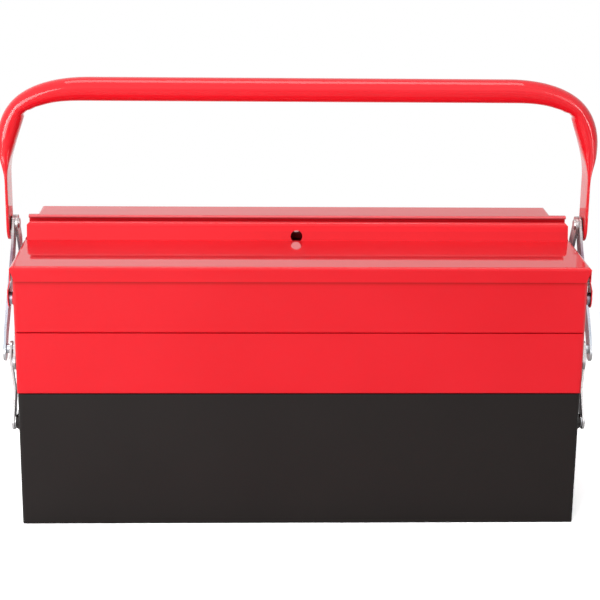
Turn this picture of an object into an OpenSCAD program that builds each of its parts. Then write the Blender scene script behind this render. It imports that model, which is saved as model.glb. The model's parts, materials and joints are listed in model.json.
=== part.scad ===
// Cantilever tool box. A black bottom box carries four red trays on riveted arms, two lids
// hinged on the upper trays, and a bent tube handle on flat links that folds them all shut.
// Millimetres, +Z up, +X along the lids, front towards -Y.
// The origin is the centre of the rectangle that the bottom box rests on.

/* [Body] */
// Length of the lids, left to right
lid_length = 450; // [420:5:480]
// Depth of the closed box, front to back
closed_depth = 208; // [204:1:216]
// Height of the bottom box
box_height = 111; // [105:1:120]
// Rise from one tray floor to the next
stage_rise = 50.2; // [50.1:0.1:51]
// Height of a tray wall
tray_height = 49.8; // [48:0.1:49.8]
// Thickness of the sheet steel of box, trays and lids
sheet = 0.8; // [0.6:0.1:1]
// Outer radius of the vertical corners of box and trays
corner_r = 3; // [2.5:0.5:4]
// Outer radius of the bend along the bottom edges
floor_bend_r = 1.5; // [1.25:0.25:2.5]
// Height of the folded hem inside each rim
hem_height = 7; // [5:0.5:9]

/* [Lids] */
// Height of the flanges around a lid
flange_height = 11.8; // [10:0.2:12]
// Outer radius of the bend along the ends of a lid
lid_end_r = 3; // [2.5:0.5:4]
// Outer radius of the bend along the long flange of a lid
lid_front_r = 2.5; // [1.5:0.25:2.75]
// Distance from the centre plane to the foot of the front lid's ridge
ridge_foot = 20; // [19:0.5:22]
// Height of the ridge above the lid
ridge_height = 14.6; // [14:0.2:16]
// Radius of the padlock hole in the ridge of the front lid
padlock_hole_r = 4.8; // [4:0.1:5]
// Radius of the padlock hole in the riser of the rear lid
rear_padlock_hole_r = 4.2; // [4:0.1:4.4]

/* [Linkage] */
// Distance from the centre plane to the outer arm pivots
outer_pivot = 91; // [90:0.5:92]
// Distance that a shut arm leans in towards the centre plane
arm_lean = 33; // [32:0.5:33.5]
// Distance from the centre plane to the lowest pivot of a long arm
long_pivot = 74; // [73.5:0.25:74.5]
// Height of the arm pivots above a tray floor
pivot_height = 23; // [22:0.5:24]
// Distance from the centre plane to the lid hinges
lid_pivot_dist = 90; // [89:0.5:91]
// Height of the lid hinges above the upper tray floor
lid_pivot_height = 24.8; // [24:0.2:25.2]
// Width of the two-pivot arms
short_arm_w = 13; // [12:0.5:13]
// Width of the three-pivot arms
long_arm_w = 12; // [11:0.5:12]
// Width of the handle links
link_w = 14; // [13:0.5:15]
// Thickness of the arms
arm_t = 1.8; // [1.6:0.1:1.8]
// Thickness of the handle links
link_t = 2; // [1.8:0.1:2]
// Radius of the rivet shanks
rivet_r = 2.5; // [2:0.1:3]

/* [Handle] */
// Height of the pivot where handle and links meet
apex_height = 224.5; // [222:0.5:227]
// Height of the middle of the grip
grip_height = 336; // [330:0.5:342]
// Radius of the handle tube
tube_r = 9.7; // [9:0.1:10]
// Radius of the long curve at each end of the grip, at the middle of the tube
lead_r = 90; // [80:1:100]
// Radius of the tight bend after it, at the middle of the tube
bend_r = 44; // [40:1:48]
// Width of the flattened ends of the handle tube
handle_flat_w = 27; // [25:0.5:28]
// Thickness of the flattened ends of the handle tube
handle_flat_t = 2.6; // [2.4:0.1:3]

/* [Hidden] */
$fn = 48;

red = [0.86, 0.10, 0.12];
black = [0.10, 0.09, 0.09];
zinc = [0.72, 0.73, 0.75];

// Half lengths, faces and heights of the shut stack
half_lid = lid_length / 2;
half_tray = half_lid - 2;
half_box = half_lid - 2.5;
lid_face = closed_depth / 2;
tray_face = lid_face - 1.5;
box_face = lid_face - 2.3;
tray_inner_face = 1;
lower_floor = box_height + 0.5;
upper_floor = lower_floor + stage_rise;
lid_top = upper_floor + tray_height + 2.9 + sheet;
flange_foot = lid_top - flange_height;
flange_cut = [4, 10];

// Ridge of the front lid, and the riser and lip of the rear lid behind it
ridge_half = half_lid - 3;
ridge_bend_r = 3.8;
ridge_lean = 2.4;
ridge_top = lid_top + ridge_height;
ridge_bend_mid = [ridge_foot - ridge_lean - ridge_bend_r, ridge_top - ridge_bend_r];
ridge_cut = 2.5;
lip_half = half_lid - 4;
lip_top = ridge_top + 4.2;
lip_roll_r = 1.2;
lip_end = -11.7;
riser_face = -7.8;
padlock_x = -2;
padlock_z = lid_top + 3.4;
rear_padlock_z = lid_top + 8.4;

// Pivots as [distance from the centre plane, height]
arm_foot_z = lower_floor + pivot_height - stage_rise;
arm_step = [-arm_lean, stage_rise];
lower_arm_foot = [outer_pivot, arm_foot_z];
lower_arm_top = lower_arm_foot + arm_step;
upper_arm_foot = lower_arm_foot + [0, stage_rise];
upper_arm_top = upper_arm_foot + arm_step;
long_arm_foot = [long_pivot, arm_foot_z];
long_arm_mid = long_arm_foot + arm_step;
long_arm_top = long_arm_mid + arm_step;
lid_pivot = [lid_pivot_dist, upper_floor + lid_pivot_height];
apex = [0, apex_height];

// Layers along X: inner faces of the flat parts outside the tray ends
side_gap = 0.3;
inner_arm_x = half_tray + 0.9;
lower_arm_foot_x = half_tray + 3.6;
lower_arm_top_x = half_tray + 8.2;
link_foot_x = half_tray + 13;
link_top_x = half_tray + 10.5;
rear_link_top_x = link_top_x - link_t - 0.35;
handle_x = half_tray + 13.9;
ear_x = half_tray + 4;

// Rivets, washers and pressed bosses
bearing_r = rivet_r + 0.08;
seat_r = rivet_r + 0.05;
head_r = 4.5;
head_h = 1.3;
apex_head_r = 5.5;
tail_r = 4;
tail_h = 1.2;
washer_r = 5;
collar_r = 3.9;
spacer_r = 5.6;
box_boss = [7.2, 5.4, 3];
lid_boss = [6.8, 5.6, 1.4];

// Cranks of the bent bars: where they start and end, as shares of the pivot distance
arm_crank = [0.42, 0.84];
link_crank = [0.12, 0.78];
link_tail = 3;
ear_w = 14;
ear_top = lid_top - lid_end_r - 0.5;
ear_crank = [lid_pivot.y + 8, flange_foot - 1];

// Handle, as [distance along X, height]: two arcs turn the grip down to the shoulder
grip_half = half_tray - 46.6;
lead_turn = 20;
bend_turn = 84;
lap_turn = 2;
bend_tube_r = tube_r - 0.3;
leg_tube_r = bend_tube_r - 0.7;
lead_mid = [grip_half, grip_height - lead_r];
bend_mid = lead_mid + (lead_r - bend_r) * [sin(lead_turn), cos(lead_turn)];
shoulder = bend_mid + bend_r * [sin(bend_turn), cos(bend_turn)];
flat_top = apex_height + 46;
slice = 1;

// How far a cut runs past the surface that it opens
past = 1;
overlap = 0.1;

// Turns children drawn in the right rear quarter into the left or front copy
module quarter(left, front) {
    mirror([left ? 1 : 0, 0, 0])
        mirror([0, front ? 1 : 0, 0])
            children();
}

module both_ends(front) {
    quarter(false, front) children();
    quarter(true, front) children();
}

// Extrudes a shape drawn as [y, z] along X, from x to x + t
module along_x(x, t) {
    translate([x, 0, 0]) rotate([90, 0, 90]) linear_extrude(t) children();
}

// Extrudes a shape drawn as [x, z] along Y, from y to y + t
module along_y(y, t) {
    translate([0, y + t, 0]) rotate([90, 0, 0]) linear_extrude(t) children();
}

// Cylinder or cone along X at pivot p, from x to x + h
module peg(p, x, h, r, end_r) {
    translate([x, p.x, p.y]) rotate([0, 90, 0]) cylinder(h = h, r1 = r, r2 = end_r);
}

// Low dome facing +X on the face x at pivot p
module dome(p, x, r, h) {
    ball_r = (r * r + h * h) / (2 * h);
    translate([x, p.x, p.y]) rotate([0, 90, 0]) intersection() {
        translate([0, 0, h - ball_r]) sphere(r = ball_r);
        cylinder(h = h, r = r);
    }
}

// Rectangle from lo to hi with round corners of radius r
module rounded_rect(lo, hi, r) {
    translate([lo.x, lo.y + r]) square([hi.x - lo.x, hi.y - lo.y - 2 * r]);
    translate([lo.x + r, lo.y]) square([hi.x - lo.x - 2 * r, hi.y - lo.y]);
    for (x = [lo.x + r, hi.x - r], y = [lo.y + r, hi.y - r]) translate([x, y]) circle(r);
}

// Rectangle from lo to hi with only its lower corners round
module round_bottom_rect(lo, hi, r) {
    translate([lo.x, lo.y + r]) square([hi.x - lo.x, hi.y - lo.y - r]);
    translate([lo.x + r, lo.y]) square([hi.x - lo.x - 2 * r, r]);
    for (x = [lo.x + r, hi.x - r]) translate([x, lo.y + r]) circle(r);
}

// Block with round upright corners and round bottom edges
module pan_block(lo, hi, r, bend) {
    intersection() {
        translate([0, 0, lo.z]) linear_extrude(hi.z - lo.z) rounded_rect(lo, hi, r);
        along_x(lo.x, hi.x - lo.x) round_bottom_rect([lo.y, lo.z], [hi.y, hi.z], bend);
        along_y(lo.y, hi.y - lo.y) round_bottom_rect([lo.x, lo.z], [hi.x, hi.z], bend);
    }
}

// Open pan of sheet steel, its rim doubled by a hem folded inside
module pan(lo, hi) {
    hem_foot = hi.z - hem_height;
    difference() {
        pan_block(lo, hi, corner_r, floor_bend_r);
        pan_block(lo + sheet * [1, 1, 1], [hi.x - sheet, hi.y - sheet, hem_foot],
            corner_r - sheet, floor_bend_r - sheet);
        translate([0, 0, hem_foot - overlap]) linear_extrude(hem_height + past)
            rounded_rect([lo.x, lo.y] + 2 * sheet * [1, 1], [hi.x, hi.y] - 2 * sheet * [1, 1],
                corner_r - 2 * sheet);
    }
}

// Bar with round ends between two pivots, drawn as [y, z]
module bar_shape(a, b, w) {
    span = b - a;
    translate(a) circle(w / 2);
    translate(b) circle(w / 2);
    translate(a) rotate(atan2(span.y, span.x)) translate([0, -w / 2]) square([norm(span), w]);
}

// Flat bar from pivot a to pivot b on layer x, bored for the listed pivots
module flat_bar(a, b, x, w, t, pivots) {
    difference() {
        along_x(x, t) bar_shape(a, b, w);
        for (p = pivots) peg(p, x - past, t + 2 * past, bearing_r, bearing_r);
    }
}

// Bar that starts a tail's length before pivot a and steps from layer xa there to xb at pivot b
module cranked_bar(a, b, xa, xb, w, t, crank, hole_a, hole_b, tail = 0) {
    span = b - a;
    reach = norm(span);
    low = min(xa, xb);
    width = abs(xb - xa) + t;
    difference() {
        intersection() {
            along_x(low - past, width + 2 * past) bar_shape(a - tail * span / reach, b, w);
            translate([0, a.x, a.y]) rotate([atan2(span.y, span.x), 0, 0]) translate([0, 0, -w])
                linear_extrude(2 * w) polygon([
                    [xa, -w], [xa, crank[0] * reach], [xb, crank[1] * reach], [xb, reach + w],
                    [xb + t, reach + w], [xb + t, crank[1] * reach], [xa + t, crank[0] * reach],
                    [xa + t, -w]]);
        }
        peg(a, low - past, width + 2 * past, hole_a, hole_a);
        peg(b, low - past, width + 2 * past, hole_b, hole_b);
    }
}

// Rivet whose tail sits inside the wall at x_in and whose head starts at x_out
module rivet(p, x_in, x_out, r, h) {
    peg(p, x_in - tail_h, tail_h, tail_r, tail_r);
    peg(p, x_in - tail_h, x_out - x_in + tail_h, rivet_r, rivet_r);
    dome(p, x_out, r, h);
}

module washer(p, x, t, r, hole) {
    difference() {
        peg(p, x, t, r, r);
        peg(p, x - past, t + 2 * past, hole, hole);
    }
}

// Pressed boss [foot radius, top radius, height] on a wall whose outer face is at x
module boss(p, x, size) {
    peg(p, x - sheet, sheet, size[0], size[0]);
    peg(p, x, size[2], size[0], size[1]);
}

// Hollow behind a pressed boss, with the rivet hole in its top
module boss_hollow(p, x, size) {
    peg(p, x - sheet - past, past, size[0] - sheet, size[0] - sheet);
    peg(p, x - sheet, size[2], size[0] - sheet, size[1] - sheet);
    peg(p, x - sheet, size[2] + sheet + past, seat_r, seat_r);
}

// Rivet hole through a wall whose outer face is at x
module wall_hole(p, x) {
    peg(p, x - sheet - past, sheet + 2 * past, seat_r, seat_r);
}

module base_box() {
    color(black) difference() {
        union() {
            pan([-half_box, -box_face, 0], [half_box, box_face, box_height]);
            for (front = [false, true]) both_ends(front) boss(lower_arm_foot, half_box, box_boss);
        }
        for (front = [false, true]) both_ends(front) {
            boss_hollow(lower_arm_foot, half_box, box_boss);
            wall_hole(long_arm_foot, half_box);
        }
    }
}

module base_rivets() {
    boss_top = half_box + box_boss[2];
    color(zinc) for (front = [false, true]) both_ends(front) {
        rivet(lower_arm_foot, boss_top - sheet, lower_arm_foot_x + arm_t + side_gap, head_r, head_h);
        rivet(long_arm_foot, half_box - sheet, inner_arm_x + arm_t + side_gap, head_r, head_h);
    }
}

module base_washers() {
    boss_top = half_box + box_boss[2];
    color(zinc) for (front = [false, true]) both_ends(front) {
        washer(lower_arm_foot, boss_top, lower_arm_foot_x - side_gap - boss_top, washer_r, seat_r);
        washer(long_arm_foot, half_box, inner_arm_x - side_gap - half_box, washer_r, seat_r);
    }
}

module lower_tray(front) {
    color(red) quarter(false, front) difference() {
        pan([-half_tray, tray_inner_face, lower_floor],
            [half_tray, tray_face, lower_floor + tray_height]);
        both_ends(false) for (p = [lower_arm_top, upper_arm_foot, long_arm_mid])
            wall_hole(p, half_tray);
    }
}

module lower_tray_rivets(front) {
    color(zinc) both_ends(front) {
        rivet(lower_arm_top, half_tray - sheet, link_foot_x + link_t + side_gap, head_r, head_h);
        for (p = [upper_arm_foot, long_arm_mid])
            rivet(p, half_tray - sheet, inner_arm_x + arm_t + side_gap, head_r, head_h);
    }
}

module lower_tray_washers(front) {
    outer_x = lower_arm_top_x + arm_t + side_gap;
    color(zinc) both_ends(front) {
        washer(lower_arm_top, half_tray, lower_arm_top_x - side_gap - half_tray, collar_r, seat_r);
        washer(lower_arm_top, outer_x, link_foot_x - side_gap - outer_x, collar_r, rivet_r);
        for (p = [upper_arm_foot, long_arm_mid])
            washer(p, half_tray, inner_arm_x - side_gap - half_tray, washer_r, seat_r);
    }
}

module upper_tray(front) {
    color(red) quarter(false, front) difference() {
        union() {
            pan([-half_tray, tray_inner_face, upper_floor],
                [half_tray, tray_face, upper_floor + tray_height]);
            both_ends(false) boss(lid_pivot, half_tray, lid_boss);
        }
        both_ends(false) {
            boss_hollow(lid_pivot, half_tray, lid_boss);
            for (p = [upper_arm_top, long_arm_top]) wall_hole(p, half_tray);
        }
    }
}

module upper_tray_rivets(front) {
    boss_top = half_tray + lid_boss[2];
    color(zinc) both_ends(front) {
        rivet(lid_pivot, boss_top - sheet, ear_x + sheet + side_gap, head_r, head_h);
        for (p = [upper_arm_top, long_arm_top])
            rivet(p, half_tray - sheet, inner_arm_x + arm_t + side_gap, head_r, head_h);
    }
}

module upper_tray_washers(front) {
    boss_top = half_tray + lid_boss[2];
    color(zinc) both_ends(front) {
        washer(lid_pivot, boss_top, ear_x - side_gap - boss_top, washer_r, seat_r);
        for (p = [upper_arm_top, long_arm_top])
            washer(p, half_tray, inner_arm_x - side_gap - half_tray, washer_r, seat_r);
    }
}

// Solid under a lid's skin: flat top from y_in out to y_out, round along the end and long edges
module lid_block(x_out, y_in, y_out, top, end_r, front_r) {
    intersection() {
        along_x(-x_out, 2 * x_out) {
            translate([y_in, flange_foot]) square([y_out - y_in - front_r, top - flange_foot]);
            translate([y_in, flange_foot]) square([y_out - y_in, top - front_r - flange_foot]);
            translate([y_out - front_r, top - front_r]) circle(front_r);
        }
        along_y(y_in, y_out - y_in) {
            translate([-x_out, flange_foot]) square([2 * x_out, top - end_r - flange_foot]);
            translate([end_r - x_out, flange_foot]) square([2 * (x_out - end_r), top - flange_foot]);
            for (x = [end_r - x_out, x_out - end_r]) translate([x, top - end_r]) circle(end_r);
        }
    }
}

// Flanged lid sheet whose flat top ends at y_in, its long flange cut back at both lower corners
module lid_sheet(y_in) {
    difference() {
        lid_block(half_lid, y_in, lid_face, lid_top, lid_end_r, lid_front_r);
        translate([0, -past, -past]) lid_block(half_lid - sheet, y_in, lid_face - sheet + past,
            lid_top - sheet + past, lid_end_r - sheet, lid_front_r - sheet);
        for (side = [-1, 1]) along_y(lid_face - 2 * sheet, 3 * sheet) polygon([
            [side * (half_lid - flange_cut.x), flange_foot - past],
            [side * (half_lid + past), flange_foot - past],
            [side * (half_lid + past), flange_foot + flange_cut.y],
            [side * half_lid, flange_foot + flange_cut.y],
            [side * (half_lid - flange_cut.x), flange_foot]]);
    }
}

// Section of the front lid's ridge: a leaning wall that bends over into a free edge on top
module ridge_section() {
    wall_x = ridge_bend_mid.x + ridge_bend_r;
    polygon([[ridge_foot - sheet, lid_top - sheet], [ridge_foot, lid_top - sheet], [ridge_foot, lid_top],
        [wall_x, ridge_bend_mid.y], [wall_x - sheet, ridge_bend_mid.y]]);
    translate(ridge_bend_mid) intersection() {
        difference() {
            circle(ridge_bend_r);
            circle(ridge_bend_r - sheet);
        }
        square(ridge_bend_r);
    }
}

module front_lid() {
    color(red) quarter(false, true) difference() {
        union() {
            lid_sheet(ridge_foot - sheet);
            along_x(-ridge_half, 2 * ridge_half) ridge_section();
        }
        translate([padlock_x, 0, padlock_z]) rotate([-90, 0, 0]) cylinder(h = ridge_foot, r = padlock_hole_r);
        for (side = [-1, 1]) along_y(ridge_bend_mid.x - past, ridge_foot) polygon([
            [side * (ridge_half - ridge_cut), ridge_top],
            [side * (ridge_half - ridge_cut), ridge_top + past],
            [side * (ridge_half + past), ridge_top + past],
            [side * (ridge_half + past), ridge_top - ridge_cut],
            [side * ridge_half, ridge_top - ridge_cut]]);
    }
}

module rear_lid() {
    color(red) difference() {
        union() {
            lid_sheet(riser_face);
            along_x(-lip_half, 2 * lip_half) {
                translate([riser_face, lid_top - sheet]) square([sheet, lip_top - lid_top + sheet]);
                translate([lip_end + lip_roll_r, lip_top - sheet])
                    square([riser_face - lip_end - lip_roll_r, sheet]);
                translate([lip_end + lip_roll_r, lip_top - lip_roll_r]) circle(lip_roll_r);
            }
        }
        translate([padlock_x, riser_face - past, rear_padlock_z]) rotate([-90, 0, 0])
            cylinder(h = sheet + 2 * past, r = rear_padlock_hole_r);
    }
}

// Hinge ear of lid sheet on the outside of a lid's end flange, stepped out over its washer
module lid_ear() {
    difference() {
        intersection() {
            along_x(half_lid - past, ear_x - half_lid + sheet + 2 * past) {
                translate(lid_pivot) circle(ear_w / 2);
                translate(lid_pivot - [ear_w / 2, 0]) square([ear_w, ear_top - lid_pivot.y]);
            }
            along_y(lid_pivot.x - ear_w, 2 * ear_w) polygon([
                [ear_x, lid_pivot.y - ear_w], [ear_x, ear_crank[0]], [half_lid, ear_crank[1]],
                [half_lid, ear_top], [half_lid + sheet, ear_top], [half_lid + sheet, ear_crank[1]],
                [ear_x + sheet, ear_crank[0]], [ear_x + sheet, lid_pivot.y - ear_w]]);
        }
        peg(lid_pivot, ear_x - past, sheet + 2 * past, bearing_r, bearing_r);
    }
}

module lower_arm(left, front) {
    color(zinc) quarter(left, front) cranked_bar(lower_arm_foot, lower_arm_top, lower_arm_foot_x,
        lower_arm_top_x, short_arm_w, arm_t, arm_crank, bearing_r, bearing_r);
}

module long_arm(left, front) {
    color(zinc) quarter(left, front) flat_bar(long_arm_foot, long_arm_top, inner_arm_x, long_arm_w,
        arm_t, [long_arm_foot, long_arm_mid, long_arm_top]);
}

module upper_arm(left, front) {
    color(zinc) quarter(left, front) flat_bar(upper_arm_foot, upper_arm_top, inner_arm_x, short_arm_w,
        arm_t, [upper_arm_foot, upper_arm_top]);
}

module front_handle_link(left) {
    color(zinc) quarter(left, true) cranked_bar(lower_arm_top, apex, link_foot_x, link_top_x,
        link_w, link_t, link_crank, bearing_r, bearing_r, link_tail);
}

module rear_handle_link(left) {
    color(zinc) quarter(left, false) cranked_bar(lower_arm_top, apex, link_foot_x, rear_link_top_x,
        link_w, link_t, link_crank, bearing_r, seat_r, link_tail);
}

// Stub rivets that fill the top holes of the rear links, heads towards the lids
module rear_link_rivets() {
    color(zinc) both_ends(false) {
        peg(apex, rear_link_top_x, link_t, rivet_r, rivet_r);
        peg(apex, rear_link_top_x - head_h, head_h, tail_r, head_r);
    }
}

module apex_rivets() {
    color(zinc) both_ends(false) {
        peg(apex, link_top_x, handle_x + handle_flat_t - link_top_x, rivet_r, rivet_r);
        dome(apex, handle_x + handle_flat_t, apex_head_r, head_h);
    }
}

module apex_spacers() {
    inner_x = link_top_x + link_t + side_gap;
    color(black) both_ends(false) washer(apex, inner_x, handle_x - inner_x, spacer_r, seat_r);
}

// Bent tube of radius tube about mid, between two angles measured from straight up
module tube_arc(mid, r, tube, from, to) {
    reach = 2 * (r + tube);
    translate([mid.x, 0, mid.y]) rotate([90, 0, 0]) intersection() {
        rotate_extrude() translate([r, 0]) circle(tube);
        translate([0, 0, -2 * tube]) linear_extrude(4 * tube)
            polygon(reach * [[0, 0], [sin(from), cos(from)], [sin(to), cos(to)]]);
    }
}

// Half of the handle: grip, curves, flattening run and flat end
module handle_half() {
    translate([0, 0, grip_height]) rotate([0, 90, 0]) cylinder(h = grip_half, r = tube_r);
    tube_arc(lead_mid, lead_r, tube_r, 0, lead_turn);
    tube_arc(bend_mid, bend_r, bend_tube_r, lead_turn - lap_turn, bend_turn + lap_turn);
    hull() {
        translate([shoulder.x, 0, shoulder.y]) rotate([0, 90 + bend_turn, 0])
            cylinder(h = slice, r = leg_tube_r, $fn = 32);
        translate([handle_x, -handle_flat_w / 2, flat_top]) cube([handle_flat_t, handle_flat_w, slice]);
    }
    along_x(handle_x, handle_flat_t) {
        translate(apex) circle(handle_flat_w / 2);
        translate(apex - [handle_flat_w / 2, 0]) square([handle_flat_w, flat_top - apex.y + slice]);
    }
}

module handle() {
    color(red) difference() {
        both_ends(false) handle_half();
        both_ends(false) peg(apex, handle_x - past, handle_flat_t + 2 * past, seat_r, seat_r);
    }
}

base_box();
base_rivets();
base_washers();
lower_tray(true);  // front_lower_tray
upper_tray(true);  // front_upper_tray
lower_tray(false);  // rear_lower_tray
upper_tray(false);  // rear_upper_tray
lower_tray_rivets(true);  // front_lower_tray_rivets
upper_tray_rivets(true);  // front_upper_tray_rivets
lower_tray_rivets(false);  // rear_lower_tray_rivets
upper_tray_rivets(false);  // rear_upper_tray_rivets
lower_tray_washers(true);  // front_lower_tray_washers
upper_tray_washers(true);  // front_upper_tray_washers
lower_tray_washers(false);  // rear_lower_tray_washers
upper_tray_washers(false);  // rear_upper_tray_washers
front_lid();
rear_lid();
color(red) both_ends(true) lid_ear();  // front_lid_ears
color(red) both_ends(false) lid_ear();  // rear_lid_ears
lower_arm(true, true);  // front_left_lower_arm
lower_arm(false, true);  // front_right_lower_arm
lower_arm(true, false);  // rear_left_lower_arm
lower_arm(false, false);  // rear_right_lower_arm
long_arm(true, true);  // front_left_long_arm
long_arm(false, true);  // front_right_long_arm
long_arm(true, false);  // rear_left_long_arm
long_arm(false, false);  // rear_right_long_arm
upper_arm(true, true);  // front_left_upper_arm
upper_arm(false, true);  // front_right_upper_arm
upper_arm(true, false);  // rear_left_upper_arm
upper_arm(false, false);  // rear_right_upper_arm
front_handle_link(true);  // front_left_handle_link
front_handle_link(false);  // front_right_handle_link
rear_handle_link(true);  // rear_left_handle_link
rear_handle_link(false);  // rear_right_handle_link
rear_link_rivets();
apex_rivets();
apex_spacers();
handle();
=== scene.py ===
"""Looks of the cantilever tool box: painted sheet steel, zinc-plated links and a bent tube handle.

Metres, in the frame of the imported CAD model: X along the lids, the front towards -Y, Z up.
"""

import json
import math

import bmesh
import bpy
from mathutils import Matrix, Vector


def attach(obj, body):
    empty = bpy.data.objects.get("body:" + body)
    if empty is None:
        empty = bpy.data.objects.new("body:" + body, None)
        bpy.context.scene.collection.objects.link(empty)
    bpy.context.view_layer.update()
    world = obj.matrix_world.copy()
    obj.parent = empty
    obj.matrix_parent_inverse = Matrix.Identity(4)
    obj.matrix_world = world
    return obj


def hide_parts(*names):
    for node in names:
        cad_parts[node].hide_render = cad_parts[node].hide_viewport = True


MM = 0.001

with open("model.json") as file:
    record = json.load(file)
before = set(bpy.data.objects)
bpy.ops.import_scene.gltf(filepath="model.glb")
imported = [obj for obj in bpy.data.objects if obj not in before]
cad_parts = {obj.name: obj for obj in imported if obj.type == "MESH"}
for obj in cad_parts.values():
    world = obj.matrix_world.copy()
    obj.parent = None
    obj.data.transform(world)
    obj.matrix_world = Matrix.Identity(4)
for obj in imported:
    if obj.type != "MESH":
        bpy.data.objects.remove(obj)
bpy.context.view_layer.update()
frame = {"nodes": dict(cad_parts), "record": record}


# ---------------------------------------------------------------- shader nodes

def new_material(name):
    """A material with an empty Principled shader, and its node tree and shader."""
    material = bpy.data.materials.new(name)
    material.use_nodes = True
    tree = material.node_tree
    return material, tree, tree.nodes["Principled BSDF"]


def place_of(tree, kind):
    """X, Y and Z outputs of the texture coordinates of a kind."""
    coords = tree.nodes.new("ShaderNodeTexCoord")
    split = tree.nodes.new("ShaderNodeSeparateXYZ")
    tree.links.new(coords.outputs[kind], split.inputs["Vector"])
    return split.outputs


def share(tree, value, low, high, smooth=False):
    """0 to 1 as a value goes from low to high."""
    node = tree.nodes.new("ShaderNodeMapRange")
    node.interpolation_type = "SMOOTHSTEP" if smooth else "LINEAR"
    node.inputs["From Min"].default_value = low
    node.inputs["From Max"].default_value = high
    tree.links.new(value, node.inputs["Value"])
    return node.outputs["Result"]


def stretched(tree, factor, low, high):
    """low to high as a factor goes from 0 to 1."""
    node = tree.nodes.new("ShaderNodeMapRange")
    node.inputs["To Min"].default_value = low
    node.inputs["To Max"].default_value = high
    tree.links.new(factor, node.inputs["Value"])
    return node.outputs["Result"]


def calculated(tree, operation, *values):
    """Result of a math operation on one or two node outputs."""
    node = tree.nodes.new("ShaderNodeMath")
    node.operation = operation
    for socket, value in enumerate(values):
        tree.links.new(value, node.inputs[socket])
    return node.outputs["Value"]


def mixed(tree, factor, first, second, blend="MIX"):
    """Blend of two colours. Factor and colours are node outputs or plain values."""
    node = tree.nodes.new("ShaderNodeMix")
    node.data_type = "RGBA"
    node.blend_type = blend
    for socket, value in (("Factor", factor), ("A", first), ("B", second)):
        if isinstance(value, bpy.types.NodeSocket):
            tree.links.new(value, node.inputs[socket])
        else:
            node.inputs[socket].default_value = value
    return node.outputs["Result"]


def graded(tree, factor, stops):
    """Colour ramp over a factor, from its stops as (share, colour)."""
    ramp = tree.nodes.new("ShaderNodeValToRGB")
    colours = ramp.color_ramp
    for element, (place, colour) in zip(colours.elements, (stops[0], stops[-1])):
        element.position = place
        element.color = colour
    for place, colour in stops[1:-1]:
        colours.elements.new(place).color = colour
    tree.links.new(factor, ramp.inputs["Fac"])
    return ramp.outputs["Color"]


def object_noise(tree, scale, detail=2.0, stretch=(1, 1, 1)):
    """Noise in object space; stretch scales each axis."""
    coords = tree.nodes.new("ShaderNodeTexCoord")
    mapping = tree.nodes.new("ShaderNodeMapping")
    mapping.inputs["Scale"].default_value = stretch
    noise = tree.nodes.new("ShaderNodeTexNoise")
    noise.inputs["Scale"].default_value = scale
    noise.inputs["Detail"].default_value = detail
    tree.links.new(coords.outputs["Object"], mapping.inputs["Vector"])
    tree.links.new(mapping.outputs["Vector"], noise.inputs["Vector"])
    return noise.outputs["Fac"]


def bump(tree, shader, factor, height, strength):
    """Surface relief of the given height in metres."""
    node = tree.nodes.new("ShaderNodeBump")
    node.inputs["Distance"].default_value = height
    node.inputs["Strength"].default_value = strength
    tree.links.new(factor, node.inputs["Height"])
    tree.links.new(node.outputs["Normal"], shader.inputs["Normal"])


# ---------------------------------------------------------------- materials

RED = (0.93, 0.011, 0.023, 1)
RED_DEEP = (0.88, 0.008, 0.018, 1)
BLACK = (0.0120, 0.0080, 0.0072, 1)
BLACK_DEEP = (0.0102, 0.0065, 0.0058, 1)
SPACER = (0.020, 0.014, 0.013, 1)
SPACER_DUST = (0.045, 0.036, 0.034, 1)
ZINC_PALE = (0.95, 0.95, 0.96, 1)
ZINC_BLUE = (0.50, 0.56, 0.64, 1)
ZINC_LILAC = (0.66, 0.62, 0.72, 1)
ZINC_MAUVE = (0.30, 0.19, 0.25, 1)
ZINC_STRAW = (0.62, 0.58, 0.58, 1)

# Noise at which a cloudy colour starts to turn from its first tint, and has reached its second
CLOUD_FROM, CLOUD_TO = 0.35, 0.65

# Enamel: slight waves of the sheet below it, and a crisp clear coat on paint that hardly shines
WAVE_SCALE = 9
WAVE_DETAIL = 1
WAVE_HEIGHT = 0.25 * MM
WAVE_STRENGTH = 0.15
ENAMEL_SKIN = {"Specular IOR Level": 0.08, "Coat Weight": 1.0, "Coat Roughness": 0.03,
               "Coat IOR": 1.45}

# Zinc: tints that change over a span of heights, mottled by noise, and its fine upright grain.
# The tints are partly painted reflection: pale where the zinc mirrors white, mauve where it mirrors red
# paint
LINK_SPAN = (130 * MM, 225 * MM)
LINK_TINTS = ((0.0, ZINC_PALE), (0.14, ZINC_BLUE), (0.45, ZINC_LILAC), (0.78, ZINC_MAUVE),
              (0.95, ZINC_STRAW))
ARM_SPAN = (60 * MM, 210 * MM)
ARM_TINTS = ((0.0, ZINC_PALE), (0.5, ZINC_STRAW), (1.0, ZINC_PALE))
MOTTLE_SCALE = 45
MOTTLING = 0.12
GRAIN_SCALE = 300
GRAIN_STRETCH = (1, 1, 0.15)
GRAIN_HEIGHT = 0.04 * MM
GRAIN_STRENGTH = 0.3
ZINC_DETAIL = 3
ZINC_ROUGHNESS = (0.20, 0.36)
ZINC_METALLIC = 0.8

# Spacers: scales of their dust and of the specks in their roughness
DUST_SCALE = 200
SPACER_SPECKS = 350
SPACER_ROUGHNESS = (0.55, 0.70)

# Painted shades are multiplied into a base colour, and a painted highlight is screened onto it
NO_SHADE = (1, 1, 1, 1)
NO_HIGHLIGHT = (0, 0, 0, 1)

# Upper trays: heights up to the foot of the lid's flange, and the shade in the gap under it
GAP_SPAN = (197.2 * MM, 202.7 * MM)
GAP_SHADE = ((0.0, NO_SHADE), (0.55, (0.95, 0.90, 0.90, 1)), (0.78, (0.84, 0.50, 0.50, 1)),
             (1.0, (0.68, 0.20, 0.22, 1)))

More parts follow.
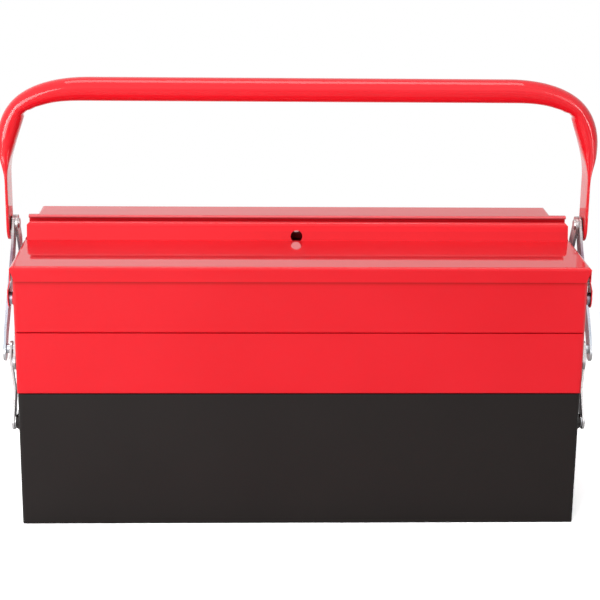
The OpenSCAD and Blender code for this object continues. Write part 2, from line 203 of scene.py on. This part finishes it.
# Front lid: heights from the lid's top to just under the ridge's top, and the ridge's shade
RIDGE_SPAN = (215.2 * MM, 229.2 * MM)
RIDGE_SHADE = ((0.0, NO_SHADE), (0.03, (0.88, 0.86, 0.86, 1)), (0.50, (0.88, 0.86, 0.86, 1)),
               (0.56, (0.94, 0.94, 0.94, 1)), (1.0, (0.94, 0.94, 0.94, 1)))

# Rear lid: depths over which a painted highlight lightens the front of the lip's roll
ROLL_SPAN = (-11.8 * MM, -10.8 * MM)
ROLL_HIGHLIGHT = ((0.0, (0.15, 0.13, 0.14, 1)), (0.45, (0.15, 0.13, 0.14, 1)), (0.75, NO_HIGHLIGHT),
            (1.0, NO_HIGHLIGHT))

# Rear lid: painted shade behind the ridge's padlock hole, and on the riser's front under the lip.
# Each area is bounded along its axes by rows of (axis, low, high, stops)
HOLE_SHADE = (0.04, 0.04, 0.04, 1)
HOLE_SHADE_SIDE = ((0.0, HOLE_SHADE), (1.0, NO_SHADE))
HOLE_SHADE_ACROSS = ((0.0, NO_SHADE), (0.10, NO_SHADE), (0.25, HOLE_SHADE), (0.75, HOLE_SHADE), (0.90, NO_SHADE),
               (1.0, NO_SHADE))
HOLE_SHADE_AREA = (("X", -12 * MM, 8 * MM, HOLE_SHADE_ACROSS), ("Y", -7.9 * MM, -7.3 * MM, HOLE_SHADE_SIDE),
             ("Z", 222 * MM, 224 * MM, HOLE_SHADE_SIDE))
RISER_SIDE = ((0.0, (0.68, 0.6, 0.6, 1)), (1.0, NO_SHADE))
RISER_AREA = (("Y", -7.9 * MM, -7.3 * MM, RISER_SIDE), ("Z", 232.6 * MM, 233.4 * MM, RISER_SIDE))

# Ears and arms: shades of the sides that face the trays. There the place along X times the
# normal's X is below the first of these values, and on all other sides it is above the second
FACING_IN = (-0.15, -0.05)
EAR_SIDES = ((0.0, (0.14, 0.12, 0.12, 1)), (1.0, NO_SHADE))
ARM_SIDES = ((0.0, (0.10, 0.06, 0.07, 1)), (1.0, NO_SHADE))

# Sheet metal whose edges are eased, the least angle of such an edge, and the width taken off it
EASED_SLOTS = ("red_paint", "black_paint")
EASED_FROM = math.radians(40)
EDGE_EASE = 0.22 * MM


def clouded(tree, shader, scale, tints):
    """Base colour that drifts between two tints."""
    stops = ((CLOUD_FROM, tints[0]), (CLOUD_TO, tints[1]))
    clouds = graded(tree, object_noise(tree, scale), stops)
    tree.links.new(clouds, shader.inputs["Base Color"])


def speckled(tree, shader, factor, roughness):
    """Roughness that goes between two values as noise does."""
    tree.links.new(stretched(tree, factor, *roughness), shader.inputs["Roughness"])


def enamel(name, tints, cloud_scale, speck_scale, roughness):
    """Glossy stoving enamel over slightly wavy sheet."""
    material, tree, shader = new_material(name)
    clouded(tree, shader, cloud_scale, tints)
    speckled(tree, shader, object_noise(tree, speck_scale), roughness)
    bump(tree, shader, object_noise(tree, WAVE_SCALE, WAVE_DETAIL), WAVE_HEIGHT, WAVE_STRENGTH)
    for socket, value in ENAMEL_SKIN.items():
        shader.inputs[socket].default_value = value
    return material


def red_paint(name):
    """Red stoving enamel."""
    return enamel(name, (RED_DEEP, RED), cloud_scale=7, speck_scale=60, roughness=(0.40, 0.50))


def black_paint():
    """Black stoving enamel."""
    return enamel("black_enamel", (BLACK_DEEP, BLACK), cloud_scale=9, speck_scale=80,
                  roughness=(0.45, 0.55))


def zinc_plate(name, span, tints):
    """Zinc plating whose tints change over a span of heights, partly as painted reflection."""
    material, tree, shader = new_material(name)
    height = share(tree, place_of(tree, "Object")["Z"], *span)
    mottle = stretched(tree, object_noise(tree, MOTTLE_SCALE, ZINC_DETAIL), -MOTTLING, MOTTLING)
    tints_and_reflections = graded(tree, calculated(tree, "ADD", height, mottle), tints)
    tree.links.new(tints_and_reflections, shader.inputs["Base Color"])
    grain = object_noise(tree, GRAIN_SCALE, ZINC_DETAIL, GRAIN_STRETCH)
    speckled(tree, shader, grain, ZINC_ROUGHNESS)
    bump(tree, shader, grain, GRAIN_HEIGHT, GRAIN_STRENGTH)
    shader.inputs["Metallic"].default_value = ZINC_METALLIC
    return material


def spacer_black():
    """Matte black spacer with a little dust."""
    material, tree, shader = new_material("spacer_black")
    clouded(tree, shader, DUST_SCALE, (SPACER, SPACER_DUST))
    speckled(tree, shader, object_noise(tree, SPACER_SPECKS), SPACER_ROUGHNESS)
    return material


def blend_painted_light(material, colour, blend="MULTIPLY"):
    """Blends a painted shade or highlight, as a graded colour, into the base colour that the material
    already has.
    """
    tree = material.node_tree
    target = tree.nodes["Principled BSDF"].inputs["Base Color"]
    tree.links.new(mixed(tree, 1, target.links[0].from_socket, colour, blend), target)


def height_shaded_red(name, span, stops):
    """Red enamel with a shade over a span of heights."""
    material = red_paint(name)
    tree = material.node_tree
    blend_painted_light(material, graded(tree, share(tree, place_of(tree, "Object")["Z"], *span), stops))
    return material


def rear_lid_red():
    """Red enamel of the rear lid: painted highlight on its lip's roll, painted shade behind the padlock
    hole.
    """
    material = red_paint("red_rear_lid")
    tree = material.node_tree
    place = place_of(tree, "Object")
    blend_painted_light(material, graded(tree, share(tree, place["Y"], *ROLL_SPAN), ROLL_HIGHLIGHT), "SCREEN")
    for area in (HOLE_SHADE_AREA, RISER_AREA):
        limits = [graded(tree, share(tree, place[axis], low, high), stops)
                  for axis, low, high, stops in area]
        shade = limits[0]
        for limit in limits[1:]:
            shade = mixed(tree, 1, shade, limit, "LIGHTEN")
        blend_painted_light(material, shade)
    return material


def shaded_inside(material, sides):
    """The material with a painted shade on the sides that face the trays."""
    tree = material.node_tree
    geometry = tree.nodes.new("ShaderNodeNewGeometry")
    normal = tree.nodes.new("ShaderNodeSeparateXYZ")
    tree.links.new(geometry.outputs["Normal"], normal.inputs["Vector"])
    outward = calculated(tree, "MULTIPLY", place_of(tree, "Object")["X"], normal.outputs["X"])
    blend_painted_light(material, graded(tree, share(tree, outward, *FACING_IN), sides))
    return material


SLOTS = {
    "red_paint": red_paint("red_enamel"),
    "black_paint": black_paint(),
    "zinc": zinc_plate("zinc_links", LINK_SPAN, LINK_TINTS),
    "black_spacer": spacer_black(),
}


def dress_nodes():
    """Gives each CAD node the material of its slot in the record, or one of its own."""
    tray_red = height_shaded_red("red_under_flange", GAP_SPAN, GAP_SHADE)
    ear_red = shaded_inside(red_paint("red_ears"), EAR_SIDES)
    arm_zinc = shaded_inside(zinc_plate("zinc_arms", ARM_SPAN, ARM_TINTS), ARM_SIDES)
    own = {
        "front_upper_tray": tray_red,
        "rear_upper_tray": tray_red,
        "front_lid": height_shaded_red("red_ridge", RIDGE_SPAN, RIDGE_SHADE),
        "rear_lid": rear_lid_red(),
        "front_lid_ears": ear_red,
        "rear_lid_ears": ear_red,
    }
    for part in frame["record"]["subparts"]:
        name = part["node"]
        material = arm_zinc if name.endswith("_arm") else SLOTS[part["material_slot"]]
        node = frame["nodes"][name]
        node.data.materials.clear()
        node.data.materials.append(own.get(name, material))


def ease_edges():
    """Rounds the sheared and folded edges of the sheet metal a little, so that they catch light."""
    for part in frame["record"]["subparts"]:
        if part["material_slot"] in EASED_SLOTS:
            node = frame["nodes"][part["node"]]
            ease = node.modifiers.new("eased_edges", "BEVEL")
            ease.limit_method = "ANGLE"
            ease.angle_limit = EASED_FROM
            ease.width = EDGE_EASE
            ease.segments = 2
            ease.harden_normals = True


dress_nodes()
ease_edges()


# ---------------------------------------------------------------- handle

# The handle's sizes are in millimetres. Heights of the straight grip's top and foot
GRIP_TOP = 345.7
GRIP_FOOT = 326.3
# Curves of its outer and inner edge over one bend, as (X, Z): out of the grip, round the bend, and
# down the leg where the tube is pressed flat. The first two inner curves don't quite meet, which
# leaves a short straight stretch between them
OUTER_EDGE = (
    ((170, GRIP_TOP), (200, GRIP_TOP), (222.3, 337.7), (233.6, 325)),
    ((233.6, 325), (242.2, 315.3), (245.2, 304), (245.2, 292)),
    ((245.2, 292), (245.2, 279), (239.9, 275), (239.5, 262)))
INNER_EDGE = (
    ((170, GRIP_FOOT), (190, GRIP_FOOT), (204, GRIP_FOOT), (220.8, 317)),
    ((222.6, 315.2), (225, 307), (228, 299.5), (231, 290)),
    ((231, 290), (233.5, 281.5), (236.9, 275), (236.9, 262)))
# Height of the handle's pivots, and half the width of its flattened legs
PIVOT_Z = 224.5
FLAT_R = 13.5
# Half depth along Y and squareness of the section at the ends of those curves
HALF_DEPTH = (9.7, 10.6, 12.2, FLAT_R)
SQUARENESS = (2.0, 2.1, 2.6, 7.0)
# Crimps that the bending left inside the bend: place along the curves, reach and depth
CRIMPS = ((0.84, 0.05, 0.5), (0.97, 0.035, 1.2), (1.03, 0.03, 0.9))
# Rings along each stretch, points round a ring, and the least angle of an edge that stays sharp
GRIP_RINGS = 12
CURVE_STEPS = 24
FLAT_RINGS = 4
END_RINGS = 10
RING_POINTS = 48
SHARP_FROM = math.radians(50)


def cubic(points, t):
    """Point at t on the cubic curve with the given four control points."""
    a, b, c, d = (Vector(point) for point in points)
    u = 1 - t
    return u ** 3 * a + 3 * u * u * t * b + 3 * u * t * t * c + t ** 3 * d


def section(outer, inner, half_depth, squareness, crimp=0):
    """Ring of points round the tube between its outer and inner edge, both given as (X, Z)."""
    middle = (outer + inner) / 2
    reach = (outer - inner) / 2
    ring = []
    for index in range(RING_POINTS):
        angle = 2 * math.pi * index / RING_POINTS
        across = math.copysign(abs(math.cos(angle)) ** (2 / squareness), math.cos(angle))
        depth = math.copysign(abs(math.sin(angle)) ** (2 / squareness), math.sin(angle))
        place = middle + reach * across
        if across < 0:
            place += reach.normalized() * crimp * abs(across) ** 3
        ring.append(Vector((place.x, half_depth * depth, place.y)) * MM)
    return ring


def grip_rings():
    """Rings from the middle of the grip to the start of the bend."""
    bend_x = OUTER_EDGE[0][0][0]
    spots = (bend_x * step / GRIP_RINGS for step in range(GRIP_RINGS))
    return [section(Vector((x, GRIP_TOP)), Vector((x, GRIP_FOOT)), HALF_DEPTH[0], SQUARENESS[0])
            for x in spots]


def bend_rings():
    """Rings round the bend, where the tube goes from round to flat and is crimped inside."""
    rings = []
    for part, (outer, inner) in enumerate(zip(OUTER_EDGE, INNER_EDGE)):
        for step in range(CURVE_STEPS):
            t = step / CURVE_STEPS
            ease = t * t * (3 - 2 * t)
            depth = HALF_DEPTH[part] + ease * (HALF_DEPTH[part + 1] - HALF_DEPTH[part])
            square = SQUARENESS[part] + ease * (SQUARENESS[part + 1] - SQUARENESS[part])
            crimp = sum(deep * math.exp(-((part + t - place) / wide) ** 2)
                        for place, wide, deep in CRIMPS)
            rings.append(section(cubic(outer, t), cubic(inner, t), depth, square, crimp))
    return rings


def leg_rings():
    """Rings down the flat leg, and round its end below the pivot."""
    outer_x, leg_top = OUTER_EDGE[-1][-1]
    inner_x = INNER_EDGE[-1][-1][0]
    spots = [(leg_top + (PIVOT_Z - leg_top) * step / FLAT_RINGS, FLAT_R)
             for step in range(FLAT_RINGS)]
    for step in range(END_RINGS):
        turn = math.pi / 2 * step / END_RINGS
        spots.append((PIVOT_Z - FLAT_R * math.sin(turn), FLAT_R * math.cos(turn)))
    return [section(Vector((outer_x, z)), Vector((inner_x, z)), half_depth, SQUARENESS[-1])
            for z, half_depth in spots]


def build_handle():
    """Bent tube handle with its legs pressed flat, in place of the plain CAD one."""
    right = grip_rings() + bend_rings() + leg_rings()
    left = [[Vector((-point.x, point.y, point.z)) for point in ring] for ring in right[:0:-1]]
    mesh = bmesh.new()
    rings = [[mesh.verts.new(point) for point in ring] for ring in left + right]
    for near, far in zip(rings, rings[1:]):
        for index in range(RING_POINTS):
            after = (index + 1) % RING_POINTS
            mesh.faces.new((near[index], near[after], far[after], far[index]))
    mesh.faces.new(rings[0])
    mesh.faces.new(rings[-1])
    bmesh.ops.recalc_face_normals(mesh, faces=mesh.faces)
    for face in mesh.faces:
        face.smooth = True
    data = bpy.data.meshes.new("bent_handle")
    mesh.to_mesh(data)
    mesh.free()
    data.set_sharp_from_angle(angle=SHARP_FROM)
    handle = bpy.data.objects.new("bent_handle", data)
    bpy.context.scene.collection.objects.link(handle)
    data.materials.append(SLOTS["red_paint"])
    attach(handle, "handle")
    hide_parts("handle")


build_handle()


# ---------------------------------------------------------------- studio

WHITE = (1, 1, 1, 1)

# Floor: its half width, the colours that it reflects at the left and right of the box and the X
# at which each is reached, its colour to the camera, and the distances over which the shadow fades
FLOOR_HALF = 12.0
FLOOR_LEFT = (0.62, 0.62, 0.62, 1)
FLOOR_RIGHT = (0.38, 0.38, 0.38, 1)
FLOOR_TURN = (-0.35, 0.35)
FLOOR_SEEN = (2.6, 2.6, 2.6, 1)
SHADOW_REACH = (0.32, 0.62)
# Distances behind and beside the box over which reflections of the floor turn white
MIRRORED_BEHIND = (0.10, 0.35)
MIRRORED_BESIDE = (0.55, 0.70)

# Room that reflections see. At the front it is darker to the right and white higher up, at the
# back it is white and a little darker to the right. Turns are spans of a direction's X, the rise is
# one of its Z, and front to back is one of its Y
FRONT_LEFT = (0.85, 0.85, 0.90, 1)
FRONT_RIGHT = (0.38, 0.38, 0.42, 1)
FRONT_TURN = (-0.45, 0.35)
FRONT_RISE = (0.22, 0.32)
BACK_RIGHT = (0.76, 0.76, 0.76, 1)
BACK_TURN = (-0.18, 0.18)
FRONT_TO_BACK = (-0.60, 0.10)
# Strength of the white world to all rays but those of the camera and of reflections
AMBIENT = 0.34

# Soft lamps: name, place, target, width and height, and power in watts
LAMPS = (
    ("key", (-1.35, -2.0, 0.85), (-0.2, 0, 0.25), (1.5, 1.5), 44),
    ("top", (0, -0.12, 2.4), (0, -0.12, 0.15), (1.4, 0.9), 14),
    ("fill", (1.9, -2.6, 1.5), (0.2, 0, 0.25), (1.2, 2.0), 15),
)
# Narrow upright lamp in front of the box at the right, repeated at the left
STRIP_PLACE = (0.66, -0.66, 0.34)
STRIP_TARGET = (0.24, 0, 0.30)
STRIP_SIZE = (0.09, 0.60)
STRIP_POWER = 1.5

# The photograph's camera, fitted to points of the object's outline. Its angles are in radians
CAMERA_PLACE = Vector((-0.0426, -1.2856, 0.5384))
CAMERA_PITCH = 0.28717
CAMERA_YAW = 0.03482
CAMERA_ROLL = 0.01153
CAMERA_FOCAL_PX = 1592.1
FRAME_PX = 600
SENSOR_MM = 36.0


def light_path(tree, *kinds):
    """1 for rays of the given kinds, else 0."""
    path = tree.nodes.new("ShaderNodeLightPath")
    found = path.outputs[kinds[0]]
    for kind in kinds[1:]:
        found = calculated(tree, "MAXIMUM", found, path.outputs[kind])
    return found


def mixed_shaders(tree, factor, first, second):
    """The first shader where the factor is 0, and the second where it is 1."""
    node = tree.nodes.new("ShaderNodeMixShader")
    for socket, value in enumerate((factor, first, second)):
        tree.links.new(value, node.inputs[socket])
    return node.outputs["Shader"]


def floor_matte(tree, place, seen):
    """Diffuse shader of the floor: its own colour to the camera, and a grey to all other rays."""
    grey = mixed(tree, share(tree, place["X"], *FLOOR_TURN), FLOOR_LEFT, FLOOR_RIGHT)
    matte = tree.nodes.new("ShaderNodeBsdfDiffuse")
    tree.links.new(mixed(tree, seen, grey, FLOOR_SEEN), matte.inputs["Color"])
    return matte.outputs["BSDF"]


def floor_white_out(tree, place, seen):
    """1 where the floor is plain white: far off to the camera, behind and beside to reflections."""
    coords = tree.nodes.new("ShaderNodeTexCoord")
    distance = tree.nodes.new("ShaderNodeVectorMath")
    distance.operation = "LENGTH"
    tree.links.new(coords.outputs["Object"], distance.inputs[0])
    far = share(tree, distance.outputs["Value"], *SHADOW_REACH, smooth=True)
    behind = share(tree, place["Y"], *MIRRORED_BEHIND, smooth=True)
    aside = calculated(tree, "ABSOLUTE", place["X"])
    beside = share(tree, aside, *MIRRORED_BESIDE, smooth=True)
    around = calculated(tree, "MAXIMUM", behind, beside)
    reflected = calculated(tree, "MULTIPLY", around, light_path(tree, "Is Glossy Ray"))
    return calculated(tree, "MAXIMUM", calculated(tree, "MULTIPLY", far, seen), reflected)


def studio_floor():
    """Pale floor: white to the camera, with the object's shadow kept close around the object."""
    mesh = bpy.data.meshes.new("floor")
    corners = [(-FLOOR_HALF, -FLOOR_HALF, 0), (FLOOR_HALF, -FLOOR_HALF, 0),
               (FLOOR_HALF, FLOOR_HALF, 0), (-FLOOR_HALF, FLOOR_HALF, 0)]
    mesh.from_pydata(corners, [], [(0, 1, 2, 3)])
    floor = bpy.data.objects.new("floor", mesh)
    bpy.context.scene.collection.objects.link(floor)
    material, tree, shader = new_material("floor_white")
    tree.nodes.remove(shader)
    place = place_of(tree, "Object")
    seen = light_path(tree, "Is Camera Ray")
    matte = floor_matte(tree, place, seen)
    white_out = floor_white_out(tree, place, seen)
    glow = tree.nodes.new("ShaderNodeEmission")
    glow.inputs["Color"].default_value = WHITE
    surface = mixed_shaders(tree, white_out, matte, glow.outputs["Emission"])
    tree.links.new(surface, tree.nodes["Material Output"].inputs["Surface"])
    mesh.materials.append(material)


def background(tree, colour, strength=1):
    """Background shader. Its colour is a node output or a plain colour."""
    node = tree.nodes.new("ShaderNodeBackground")
    if isinstance(colour, bpy.types.NodeSocket):
        tree.links.new(colour, node.inputs["Color"])
    else:
        node.inputs["Color"].default_value = colour
    node.inputs["Strength"].default_value = strength
    return node.outputs["Background"]


def room_colour(tree):
    """Colour of the room in the direction of a ray."""
    way = place_of(tree, "Generated")
    front = mixed(tree, share(tree, way["X"], *FRONT_TURN, smooth=True), FRONT_LEFT, FRONT_RIGHT)
    front = mixed(tree, share(tree, way["Z"], *FRONT_RISE, smooth=True), front, WHITE)
    back = mixed(tree, share(tree, way["X"], *BACK_TURN, smooth=True), WHITE, BACK_RIGHT)
    return mixed(tree, share(tree, way["Y"], *FRONT_TO_BACK, smooth=True), front, back)


def studio_world():
    """White to the camera; reflections see a white wall behind and a room that darkens to the right."""
    world = bpy.data.worlds.new("studio")
    bpy.context.scene.world = world
    world.use_nodes = True
    tree = world.node_tree
    tree.nodes.remove(tree.nodes["Background"])
    mirrored = light_path(tree, "Is Glossy Ray", "Is Transmission Ray")
    shown = mixed_shaders(tree, mirrored, background(tree, WHITE, AMBIENT),
                          background(tree, room_colour(tree)))
    shown = mixed_shaders(tree, light_path(tree, "Is Camera Ray"), shown, background(tree, WHITE))
    tree.links.new(shown, tree.nodes["World Output"].inputs["Surface"])


def soft_box(name, place, target, size, power):
    """An area lamp of the given width and height at place that looks at target."""
    data = bpy.data.lights.new(name, "AREA")
    data.shape = "RECTANGLE"
    data.size, data.size_y = size
    data.energy = power
    lamp = bpy.data.objects.new(name, data)
    bpy.context.scene.collection.objects.link(lamp)
    lamp.location = place
    lamp.rotation_euler = (Vector(target) - Vector(place)).to_track_quat("-Z", "Y").to_euler()
    return lamp


def studio_lamps():
    """Soft lamps, and an upright strip on each side that only reflections see."""
    for lamp in LAMPS:
        soft_box(*lamp)
    for side in (-1, 1):
        place, target = ((side * x, y, z) for x, y, z in (STRIP_PLACE, STRIP_TARGET))
        strip = soft_box("strip", place, target, STRIP_SIZE, STRIP_POWER)
        strip.visible_diffuse = False


def camera():
    """Camera at its place, turned by its yaw, pitch and roll."""
    data = bpy.data.cameras.new("camera")
    data.sensor_width = SENSOR_MM
    data.lens = SENSOR_MM * CAMERA_FOCAL_PX / FRAME_PX
    look = Vector((math.sin(CAMERA_YAW) * math.cos(CAMERA_PITCH),
                   math.cos(CAMERA_YAW) * math.cos(CAMERA_PITCH), -math.sin(CAMERA_PITCH)))
    side = Vector((math.cos(CAMERA_YAW), -math.sin(CAMERA_YAW), 0))
    up = side.cross(look)
    right = math.cos(CAMERA_ROLL) * side + math.sin(CAMERA_ROLL) * up
    top = -math.sin(CAMERA_ROLL) * side + math.cos(CAMERA_ROLL) * up
    turn = Matrix((right, top, -look)).transposed()
    eye = bpy.data.objects.new("camera", data)
    eye.matrix_world = Matrix.Translation(CAMERA_PLACE) @ turn.to_4x4()
    bpy.context.scene.collection.objects.link(eye)
    bpy.context.scene.camera = eye


studio_floor()
studio_world()
studio_lamps()
camera()

bpy.context.scene.view_settings.view_transform = "Standard"
